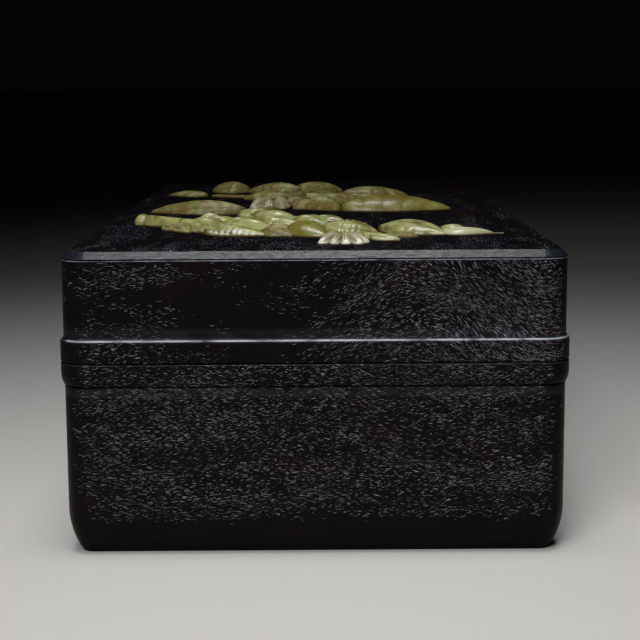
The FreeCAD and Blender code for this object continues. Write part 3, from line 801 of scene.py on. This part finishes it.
    def ridged(self, t: float, near: float) -> tuple[float, float, float]:
        """A broad leaf folded over its front lobe.

        Args:
            t: from 0 at the root to 1 at the tip.
            near: from -1 at the side towards the back to 1 towards the front.

        Returns:
            What the relief adds to a plain crown, paleness with painted highlight, and staining.
        """
        lobe, crease = self.lobes(0.98 * near - 0.16 * math.sin(math.pi * t) - 0.42 * t**2 + 0.02)
        vein = pulse(near, -0.42 + 0.16 * t, 0.05)
        body = 0.20 * (lobe - 1) - 0.03 * vein
        # ridge and fold are painted highlights along the leaf, with paler lobe tops.
        ridge, fold = pulse(near, 0.50 + 0.2 * t, 0.16), pulse(near, -0.12 + 0.2 * t, 0.08)
        pale_and_highlight = 0.34 * lobe + 0.30 * ridge + 0.22 * fold
        # Creases, the vein and the root are stained: partly brown lines, partly painted shade.
        cut = crease * (0.20 + 0.90 * t) + 0.25 * vein + 0.75 * pulse(t, 0.0, 0.06)
        return body, pale_and_highlight, cut

    def petal(self, t: float, near: float) -> tuple[float, float, float]:
        """A petal with raised ribs and a pale rim.

        Args:
            t: from 0 at the root to 1 at the tip.
            near: from -1 at the side towards the back to 1 towards the front.

        Returns:
            What the relief adds to a plain crown, paleness with painted highlight, and staining.
        """
        ribs = abs(math.cos(math.pi * near * 2.0))
        body = -0.18 * (1 - ribs) ** 2
        # Paler ribs and rim: partly the shell's own pale rim, partly painted highlight.
        pale_and_highlight = 0.75 * ribs**2 * min(1.0, 0.5 + t) + 0.9 * pulse(t, 0.95, 0.10)
        # Grooves and the root are stained: partly brown, partly painted shade.
        cut = 0.85 * (1 - ribs) ** 5 * (1.1 - 0.6 * t) + 0.7 * pulse(t, 0.0, 0.10)
        return body, pale_and_highlight, cut

    def rod(self, t: float, near: float) -> tuple[float, float, float]:
        """A length of branch: fine lines along it, and a ring where it thickens.

        Args:
            t: from 0 at the root to 1 at the tip.
            near: from -1 at the side towards the back to 1 towards the front.

        Returns:
            What the relief adds to a plain crown, paleness with painted highlight, and staining.
        """
        line = max(0.0, math.cos(math.pi * 5 * near)) ** 8
        ring = pulse(t, 0.56, 0.02)
        # Painted highlights along the top and front of the branch and just past its ring.
        pale_and_highlight = 0.40 * pulse(near, -0.15, 0.22) + 0.30 * pulse(near, 0.7, 0.15) + 0.5 * pulse(t, 0.66, 0.06)
        return -0.03 * line - 0.04 * ring, pale_and_highlight, 0.22 * line + 0.8 * pulse(t, 0.0, 0.04) + 0.7 * ring

    def pod(self, t: float, near: float) -> tuple[float, float, float]:
        """A smooth pod with faint seams and a dotted painted highlight towards its tip.

        Args:
            t: from 0 at the root to 1 at the tip.
            near: from -1 at the side towards the back to 1 towards the front.

        Returns:
            What the relief adds to a plain crown, paleness with painted highlight, and staining.
        """
        line = max(0.0, math.cos(math.pi * (2.5 * near + 0.5))) ** 10
        # A dotted painted highlight towards the tip and a fainter one along the back.
        pale_and_highlight = 0.90 * pulse(near, 0.66, 0.24) * pulse(t, 0.70, 0.24) + 0.25 * pulse(near, -0.5, 0.2)
        cut = 0.45 * line * (1 - 0.6 * t) + 0.8 * pulse(t, 0.0, 0.07)
        if self.knots:
            # Swellings of a knotted pod are paler, partly painted highlight; the dips between are stained.
            uneven = 0.9 * self.drift(t * 3.5, 5.0) + 0.9 * near
            swell = abs(math.sin(math.pi * self.knots * t + uneven)) ** 0.7
            mottle = 0.5 + self.drift(t * 9, near * 2)
            return 0.07 * (swell - 1), 0.9 * mottle * swell, 0.30 * (1 - swell) ** 2 + 0.1 * cut
        return -0.035 * line, pale_and_highlight, cut

    def bud(self, t: float, near: float) -> tuple[float, float, float]:
        """A pointed bud with one seam.

        Args:
            t: from 0 at the root to 1 at the tip.
            near: from -1 at the side towards the back to 1 towards the front.

        Returns:
            What the relief adds to a plain crown, paleness with painted highlight, and staining.
        """
        line = pulse(near, -0.15, 0.05)
        # Pale all over, with a painted highlight.
        pale_and_highlight = 0.55 + 0.9 * self.glint(t, near, 0.15)
        return -0.08 * line, pale_and_highlight, 0.35 * line * (1 - t) + 0.5 * pulse(t, 0.0, 0.05)

    def place(self, t: float, c: float) -> Vector:
        """The plan position of a place on the form.

        Args:
            t: from 0 at the root to 1 at the tip.
            c: from -1 at one side to 1 at the other.

        Returns:
            The position in millimetres.
        """
        across = self.half_width(t) * c
        lean = math.atan(4 * self.bend * (1 - 2 * t) / self.length)
        spine = Vector((self.length * t, 4 * self.bend * t * (1 - t), 0.0))
        spine += Vector((-math.sin(lean), math.cos(lean), 0.0)) * across
        return Matrix.Rotation(math.radians(self.heading), 3, "Z") @ spine + Vector((*self.root, 0.0))


@dataclass(frozen=True)
class Ball:
    """A round boss: a knob or a seed head.

    Lengths are millimetres, and height is the boss's top over the panel. tint is as a
    Cut's, and collar is how dark the ring at the branch's side is stained.
    """

    centre: Point
    radius: float
    height: float
    tint: float = 0.0
    collar: float = 0.0


@dataclass
class Carver:
    """Turns carved forms into closed meshes that stand on the lid's panel."""

    ground: float  # height of the panel's top
    rows: int = 104  # squares of the grid along a form
    columns: int = 36  # and across it
    sink: float = 0.04  # how far the stones reach into the panel
    weld: float = 0.012  # vertices closer than this are joined
    sharp: float = 50.0  # edges sharper than this, in degrees, stay crisp

    def start(self) -> bmesh.types.BMesh:
        """An empty mesh with its colour layer.

        Returns:
            The mesh.
        """
        made = bmesh.new()
        made.verts.layers.float_color.new("carve")
        return made

    def cut(self, mesh: bmesh.types.BMesh, form: Cut) -> None:
        """Adds one form to the mesh: a grid drawn over its relief, with a wall and a floor.

        Args:
            mesh: the mesh to add to.
            form: the carved form.
        """
        layer = mesh.verts.layers.float_color["carve"]
        top = bmesh.ops.create_grid(
            mesh, x_segments=self.rows, y_segments=self.columns, size=1.0, calc_uvs=False
        )["verts"]
        rim = [edge for vert in top for edge in vert.link_edges if edge.is_boundary]
        skirt = bmesh.ops.extrude_edge_only(mesh, edges=list(dict.fromkeys(rim)))["geom"]
        foot = [item for item in skirt if isinstance(item, bmesh.types.BMVert)]
        edges = [item for item in skirt if isinstance(item, bmesh.types.BMEdge)]
        below = set(foot)
        bmesh.ops.contextual_create(mesh, geom=[edge for edge in edges if below.issuperset(edge.verts)])
        for vert in top + foot:
            t = 0.5 - 0.5 * math.cos(math.pi * (vert.co.x + 1) / 2)
            c = math.sin(math.pi / 2 * vert.co.y)
            height, pale_and_highlight, dark = form.rise(t, c)
            where = form.place(t, c)
            where.z = self.ground + height
            vert[layer] = (pale_and_highlight, form.tint, dark, 1.0)
            vert.co = where
        for vert in foot:
            vert.co.z = self.ground - self.sink
            # The foot is stained dark: painted shade where the form meets the panel.
            vert[layer] = (0.0, form.tint, 0.8, 1.0)

    def ball(self, mesh: bmesh.types.BMesh, boss: Ball) -> None:
        """Adds a round boss, with a stained collar where it has one.

        Args:
            mesh: the mesh to add to.
            boss: the boss.
        """
        layer = mesh.verts.layers.float_color["carve"]
        made = bmesh.ops.create_uvsphere(mesh, u_segments=40, v_segments=24, radius=boss.radius)["verts"]
        middle = self.ground + boss.height - boss.radius
        for vert in made:
            side = vert.co.x / boss.radius
            dark = pulse(side, 0.66, 0.30) * boss.collar * 0.9
            # Paler towards -x, the key lamp's side: painted light.
            pale_and_highlight = 0.5 * pulse(side, -0.3, 0.5)
            vert[layer] = (pale_and_highlight, boss.tint, dark, 1.0)
            vert.co += Vector((*boss.centre, middle))
            vert.co.z = max(vert.co.z, self.ground - self.sink)

    def finish(self, mesh: bmesh.types.BMesh, name: str, material: bpy.types.Material) -> bpy.types.Object:
        """Closes the mesh, turns its faces out and makes it an object in metres.

        Args:
            mesh: the mesh, which is used up.
            name: the object's name.
            material: its finish.

        Returns:
            The object.
        """
        bmesh.ops.remove_doubles(mesh, verts=mesh.verts, dist=self.weld)
        bmesh.ops.recalc_face_normals(mesh, faces=mesh.faces)
        bmesh.ops.scale(mesh, vec=(MM, MM, MM), verts=mesh.verts)
        for face in mesh.faces:
            face.smooth = True
        data = bpy.data.meshes.new(name)
        mesh.to_mesh(data)
        mesh.free()
        data.set_sharp_from_angle(angle=math.radians(self.sharp))
        data.materials.append(material)
        made = bpy.data.objects.new(name, data)
        bpy.context.scene.collection.objects.link(made)
        return made


def fan(centre: Point, heading: float, count: int, inner: float, pattern: Cut, spread: float) -> list[Cut]:
    """Petals set round a centre.

    Args:
        centre: the middle of the flower.
        heading: direction of its middle, in degrees.
        count: how many petals.
        inner: distance from the centre to each petal's root.
        pattern: the petal; its root and heading are replaced.
        spread: angle from the first petal to the last, or 360 all round.

    Returns:
        The petals.
    """
    petals = []
    full = spread >= 360
    for index in range(count):
        step = index / count if full else index / (count - 1) - 0.5
        turn = heading + spread * step
        root = (
            centre[0] + inner * math.cos(math.radians(turn)),
            centre[1] + inner * math.sin(math.radians(turn)),
        )
        grown = 1 + 0.10 * math.sin(2.4 * index + 1.0)
        petals.append(Cut(root, turn, pattern.length * grown, pattern.width, pattern.height * grown,
                          form=Form.PETAL, tint=pattern.tint + 0.3 * math.sin(1.9 * index)))
    return petals


@dataclass(frozen=True)
class Relief:
    """The spray of carved stones on the lid."""

    ground: float  # height of the panel's top

    FINISHES = {  # how the names of the pieces of each stone begin
        "olive_stone": ("branch", "twig"),
        "cream_shell": ("petals",),
        "amber_stone": ("seed", "pod", "bud"),
        "green_stone": ("leaf",),
    }

    def plan(self) -> dict[str, list[Cut | Ball]]:
        """Lays out every stone.

        Returns:
            The carved forms, by the node that they take the place of.
        """
        rod, pod = Form.ROD, Form.POD
        return {
            "branch_knob": [Ball((-39.9, -47.2), 2.15, 2.4, collar=1.0)],
            "branch_front": [Cut((-39.2, -48.9), -34.5, 20.5, 4.0, 2.4, -0.4, rod)],
            "branch_lower": [Cut((-19.0, -64.6), -16, 18.0, 3.0, 2.0, -0.4, rod)],
            "branch_middle": [
                Cut((-14.5, -52.0), 84, 40.0, 3.4, 2.2, 1.2, rod),
                Cut((-12.4, -22.9), 162, 4.8, 2.4, 1.8, 0.0, rod),
                Cut((-12.6, -38.4), -12, 12.0, 1.8, 1.3, 0.0, rod),
            ],
            "branch_upper": [
                Cut((-11.0, 5.6), 78, 44.0, 3.6, 2.6, -2.2, rod),
                Cut((-5.0, 30.2), 158.5, 26.8, 1.6, 1.0, 1.6, rod, tint=1.0),
                Cut((-2.0, 48.8), 107, 13.2, 2.0, 1.6, -0.4, rod),
                Cut((-2.6, 31.2), 10, 10.0, 2.0, 1.6, 0.0, rod),
                Cut((-7.8, 12.3), 12, 8.0, 2.0, 1.5, 0.0, rod),
            ],
            "twig_front": [
                Cut((2.4, -77.0), -72, 11.4, 2.4, 1.8, 0.4, rod),
                Cut((4.6, -81.6), 9, 10.2, 1.6, 1.1, 0.0, rod),
                Cut((6.6, -86.8), 8, 5.2, 1.6, 1.1, 0.0, rod),
            ],
            "twig_right": [Cut((-5.2, -4.2), -36, 14.6, 4.6, 2.6, 0.4, rod, tint=1.0)],
            "seed_head": [Ball((-11.8, -3.0), 1.7, 2.6)],
            "petals_front": fan((6.2, -89.8), 272, 5, 1.0, Cut((0, 0), 0, 6.0, 2.6, 2.2), 92),
            "petals_rear": [
                *fan((-11.8, -3.0), 90, 6, 1.3, Cut((0, 0), 0, 4.4, 3.8, 2.9, tint=0.5), 360),
                Cut((-7.2, 2.0), 70, 12.0, 4.6, 2.4, form=Form.PETAL, tint=0.5),
            ],
            "pod_front": [Cut((-5.9, -71.4), -47, 12.6, 8.2, 3.1, 0.6, pod)],
            "pod_rear": [Cut((6.9, -13.0), 6, 28.5, 11.0, 4.0, 1.6, pod, tint=0.45, knots=5)],
            "bud_front": [
                Cut((27.4, -75.8), 2, 11.2, 4.6, 1.6, -0.5, Form.BUD, tint=-1.0),
                Cut((38.2, -75.4), 2, 2.6, 0.16, 0.30, 0.0, rod, tint=-0.95),
            ],
            "leaf_front_1": [
                Cut((-33.8, -58.4), -66, 8.0, 3.6, 1.5, 0.3, tint=-0.1),
                Cut((-30.8, -60.4), -72, 10.5, 4.2, 2.0, 0.4, lean=0.3, tint=-0.2),
                Cut((-27.4, -62.8), -62, 9.4, 4.4, 2.0, 0.4, tint=-0.2),
            ],
            "leaf_front_2": [
                Cut((-24.0, -72.6), -20, 14.6, 6.4, 2.2, 0.5, lean=-0.2, tint=0.1, beads=1.0),
                Cut((-11.6, -74.2), -38, 8.8, 5.4, 2.0, 0.6, tint=0.7),
            ],
            "leaf_front_3": [Cut((1.0, -70.4), -14, 13.2, 7.8, 2.9, 0.8, tint=0.2, beads=-1.0)],
            "leaf_front_4": [
                Cut((11.6, -86.0), -26, 6.8, 4.0, 1.4, 0.4, tint=-0.6),
                Cut((15.0, -80.0), -16, 7.2, 3.4, 1.2, 0.3, tint=0.9, beads=1.0),
            ],
            "leaf_front_5": [Cut((14.0, -69.6), -31, 16.2, 9.6, 3.0, 1.6, Form.RIDGED, tint=-0.1)],
            "leaf_front_6": [Cut((27.4, -68.4), -16, 6.6, 4.6, 1.6, 0.5, tint=-0.5)],
            "leaf_mid_1": [
                Cut((-28.6, -56.0), -37, 12.0, 5.8, 2.7, 0.5, lean=0.2),
                Cut((-26.6, -52.0), -18, 11.4, 6.6, 2.4, 0.8),
                Cut((-19.0, -31.0), -12, 10.0, 6.4, 2.4, 0.6),
                Cut((-27.0, -47.6), 8, 6.4, 3.6, 2.6, 0.4, tint=-0.7),
            ],
            "leaf_mid_2": [
                Cut((-20.8, -58.0), -24, 10.4, 6.0, 2.7, 0.8),
                Cut((-13.6, -56.6), -28, 11.0, 7.0, 2.9, 0.8, lean=-0.2),
                Cut((-17.6, -63.4), -12, 7.6, 3.4, 2.1, 0.5, lift=0.5, tint=-0.5),
            ],
            "leaf_mid_3": [
                Cut((-15.0, -42.0), -26, 13.0, 7.4, 2.9, 0.8),
                Cut((-5.4, -55.0), -34, 11.0, 7.4, 3.0, 0.8),
                Cut((-0.6, -41.0), -26, 8.6, 4.6, 1.6, 0.5),
                Cut((-12.2, -49.4), -8, 8.0, 3.6, 2.4, 0.5, lift=0.6, tint=-0.6),
                Cut((-9.8, -61.0), -20, 7.6, 3.6, 2.0, 0.5, lift=0.5, tint=-0.5),
            ],
            "leaf_rear_1": [Cut((-17.2, -20.6), 168, 24.8, 9.6, 3.4, -1.2, lean=0.2, tint=0.8)],
            "leaf_rear_2": [Cut((-2.4, 6.0), 6, 10.4, 6.6, 2.6, 0.6, tint=0.8)],
            "leaf_rear_3": [Cut((-31.0, 40.0), 156, 13.0, 6.0, 1.7, -0.8, tint=0.8)],
            "leaf_rear_4": [
                Cut((-3.7, 50.0), 161, 17.6, 8.6, 3.4, -1.0, tint=0.8),
                Cut((-6.4, 24.0), 165, 14.0, 7.0, 2.8, -0.8, tint=0.8),
            ],
            "leaf_rear_5": [Cut((7.6, 33.0), 12, 20.0, 10.0, 3.2, 1.6, tint=0.8)],
            "leaf_rear_6": [Cut((0.2, 14.0), 14, 15.0, 7.4, 2.6, 1.2, tint=0.8)],
            "leaf_rear_7": [Cut((-19.4, 57.0), 158, 12.6, 8.8, 3.4, 1.0, tint=0.8)],
            "leaf_rear_8": [Cut((-6.0, 62.0), -8, 14.6, 9.0, 3.0, 1.0, tint=0.8)],
            "leaf_rear_9": [Cut((-1.6, 39.4), 50, 16.0, 8.0, 3.0, 1.2, tint=0.8)],
        }

    def build(self, stones: Mapping[str, bpy.types.Material]) -> None:
        """Carves every stone and puts it in place of its plain one.

        Args:
            stones: finish by slot name.
        """
        carver = Carver(self.ground)
        for node, shapes in self.plan().items():
            slot = next(slot for slot, starts in self.FINISHES.items() if node.startswith(starts))
            mesh = carver.start()
            for shape in shapes:
                if isinstance(shape, Ball):
                    carver.ball(mesh, shape)
                else:
                    carver.cut(mesh, shape)
            piece = carver.finish(mesh, f"carved_{node}", stones[slot])
            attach(piece, "lid")
            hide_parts(node)
            LOG.info("carved %s: %d faces", node, len(piece.data.polygons))


# ---------------------------------------------------------------- the case and what it holds


@dataclass
class Case:
    """The blackwood case: a finish for each board, each cut from another place.

    ledge, seam and arris are the heights of the three edges painted pale, partly as worn
    edges and partly as painted highlight: the raised band's upper one, the base's at the
    seam and the lid wall's upper one. bevel is the lowest and highest point of the
    panel's bevel, and the base's pores thin out towards the height foot, over the floor.
    """

    half_width: float
    half_length: float
    ledge: float
    seam: float
    arris: float
    bevel: tuple[float, float]
    foot: float = 5.6

    def boards(self) -> dict[str, Blackwood]:
        """The finish of each board.

        Returns:
            The finishes, by node.
        """
        end, side, top = Lie.END_WALL, Lie.SIDE_WALL, Lie.TOP
        wide, long = self.half_width, self.half_length
        # The lid's edges are painted pale, partly worn and partly painted highlight; the faint wide band just
        # over the ledge is a painted reflection.
        lid = {"worn_and_lit_bands": ((self.ledge, 0.22, 0.9), (self.ledge + 0.9, 2.0, 0.030), (self.arris, 0.14, 0.65))}
        # The base's arris at the seam and a faint band under the raised band: painted highlight, partly worn.
        base = {"worn_and_lit_bands": ((self.seam, 0.12, 0.05), (self.seam - 5.6, 1.5, 0.03)), "plain_foot": self.foot}
        hidden = {"plain_edge": -4.0}
        boards = (
            ("lid_front_wall", end, wide, 1.0, {
                "sway": 6.2, "sway_length": 60.0, "sway_start": -26.0, "thin": 0.52, "thin_slope": 0.010,
                "mist": 0.006, "clear": (-10.0, 25.0), **lid,
            }),
            ("lid_back_wall", end, wide, 2.3, {"sway": 3.0, **lid}),
            ("lid_left_wall", side, long, 3.1, {"sway": 3.0, "sway_length": 120.0, **lid}),
            ("lid_right_wall", side, long, 4.7, {"sway": 2.0, "sway_length": 150.0, **lid}),
            ("lid_top_panel", top, long, 5.9, {
                "thin": 0.88, "thin_slope": -0.0014, "thin_start": -100.0, "mist": 0.004,
                "gloss": 0.0, "bevel": self.bevel, **hidden,
            }),
            ("base_front_wall", end, wide, 6.4, {"sway": 1.2, "sway_length": 90.0, "swirl": 0.7, **base}),
            ("base_back_wall", end, wide, 7.7, {"swirl": 0.8, **base}),
            ("base_left_wall", side, long, 8.2, {"swirl": 0.8, **base}),
            ("base_right_wall", side, long, 9.6, {"swirl": 0.8, **base}),
            ("bottom_panel", top, long, 10.3, hidden),
            ("base_corner_keys", end, wide, 11.5, hidden),
            ("lid_corner_keys", end, wide, 12.1, hidden),
        )
        return {node: Blackwood(f"blackwood_{node}", lie, half, seed, **rest)
                for node, lie, half, seed, rest in boards}


@dataclass
class Contents:
    """The lining, the tray, the inkstone and the ink sticks."""

    nodes: list[str]

    def finishes(self) -> dict[str, bpy.types.Material]:
        """The finish of each node.

        Returns:
            The materials, by node.
        """
        wood = PlainWood("lining_wood").make()
        slate = Slate("inkstone_slate").make()
        ink = PressedInk("pressed_ink").make()
        special = {"inkstone": slate, "ink_stick_left": ink, "ink_stick_right": ink}
        return {node: special.get(node, wood) for node in self.nodes}


def dress(node: str, material: bpy.types.Material) -> None:
    """Puts a material on every slot of a node.

    Args:
        node: the node's name.
        material: its finish.
    """
    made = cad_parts[node]
    if not made.material_slots:
        made.data.materials.append(material)
    for slot in made.material_slots:
        slot.link = "OBJECT"
        slot.material = material
    LOG.info("dressed %s in %s", node, material.name)


# ---------------------------------------------------------------- studio


@dataclass(frozen=True)
class Softbox:
    """A square lamp that shines on one point: lengths in metres, spread in degrees."""

    name: str
    place: tuple[float, float, float]
    aim: tuple[float, float, float]
    size: float
    radiance: float
    spread: float

    def light(self) -> None:
        """Adds the lamp; its power follows from its radiance and its size."""
        lamp = bpy.data.lights.new(self.name, "AREA")
        lamp.shape, lamp.size = "SQUARE", self.size
        lamp.energy = self.radiance * math.pi * self.size**2
        lamp.spread = math.radians(self.spread)
        made = bpy.data.objects.new(self.name, lamp)
        bpy.context.scene.collection.objects.link(made)
        made.location = self.place
        made.rotation_mode = "QUATERNION"
        made.rotation_quaternion = (Vector(self.aim) - Vector(self.place)).to_track_quat("-Z", "Y")


@dataclass(frozen=True)
class Studio:
    """Camera, pale floor and soft light: lengths in metres, angles in degrees, lens in millimetres."""

    eye: tuple[float, float, float] = (0.00019, -0.3973, 0.09254)
    pitch: float = 8.84
    yaw: float = 0.161
    roll: float = -0.348
    lens: float = 84.375
    floor_size: float = 30.0
    floor_colour: Colour = (0.50, 0.49, 0.47)
    backdrop: Colour = (0.0012, 0.0012, 0.0014)

    def camera(self) -> None:
        """Sets up the camera: it looks along +Y, slightly down."""
        scene = bpy.context.scene
        made = bpy.data.objects.new("camera", bpy.data.cameras.new("camera"))
        scene.collection.objects.link(made)
        made.data.lens, made.data.sensor_width = self.lens, 36.0
        pitch, yaw, roll = (math.radians(angle) for angle in (self.pitch, self.yaw, self.roll))
        ahead = Vector((math.sin(yaw) * math.cos(pitch), math.cos(yaw) * math.cos(pitch), -math.sin(pitch)))
        right = Vector((math.cos(yaw), -math.sin(yaw), 0.0))
        up = right.cross(ahead)
        right, up = (
            right * math.cos(roll) + up * math.sin(roll),
            up * math.cos(roll) - right * math.sin(roll),
        )
        matrix = Matrix((right, up, -ahead)).transposed().to_4x4()
        matrix.translation = Vector(self.eye)
        made.matrix_world = matrix
        scene.camera = made

    def floor(self) -> None:
        """Lays the floor under the box."""
        mesh = bmesh.new()
        bmesh.ops.create_grid(mesh, x_segments=1, y_segments=1, size=self.floor_size)
        data = bpy.data.meshes.new("floor")
        mesh.to_mesh(data)
        mesh.free()
        made = bpy.data.objects.new("floor", data)
        bpy.context.scene.collection.objects.link(made)
        shade = Shade("pale_floor")
        tone = shade.noise(shade.place(1.0), 3.0, 3.0)
        low = tuple(part * 0.96 for part in self.floor_colour)
        data.materials.append(shade.finish(Base_Color=shade.mix(tone, low, self.floor_colour), Roughness=0.9))

    def lights(self) -> None:
        """Hangs the lamps and sets the backdrop."""
        Softbox("overhead", (0.0, -0.22, 0.95), (0.0, -0.20, 0.0), 0.44, 0.95, 42.0).light()
        Softbox("key", (-0.14, -0.52, 0.46), (0.0, -0.13, 0.05), 0.28, 1.35, 60.0).light()
        world = bpy.data.worlds.new("backdrop")
        bpy.context.scene.world = world
        world.use_nodes = True
        world.node_tree.nodes["Background"].inputs["Color"].default_value = (*self.backdrop, 1.0)
        bpy.context.scene.view_settings.view_transform = "Standard"


def main() -> None:
    """Builds the scene in order."""
    logging.basicConfig(level=logging.INFO, format="%(name)s: %(message)s")
    studio = Studio()
    studio.camera()
    low, high = (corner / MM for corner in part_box("lid_top_panel"))
    wall_low, wall_high = (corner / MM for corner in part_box("lid_front_wall"))
    half_width, half_length = (high.x - low.x) / 2, (high.y - low.y) / 2
    case = Case(half_width, half_length, ledge=wall_low.z + BAND_ABOVE, seam=wall_low.z - SEAM_EDGE,
                arris=wall_high.z - TOP_EDGE, bevel=(wall_high.z + BEVEL_FOOT, high.z))
    boards, relief = case.boards(), Relief(high.z)
    outside = {*boards, *relief.plan()}
    contents = Contents([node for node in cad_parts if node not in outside])
    for node, material in contents.finishes().items():
        dress(node, material)
    for node, finish in boards.items():
        dress(node, finish.make())
    relief.build({stone.name: stone.make() for stone in STONES})
    studio.floor()
    studio.lights()


if __name__ == "__main__":
    main()
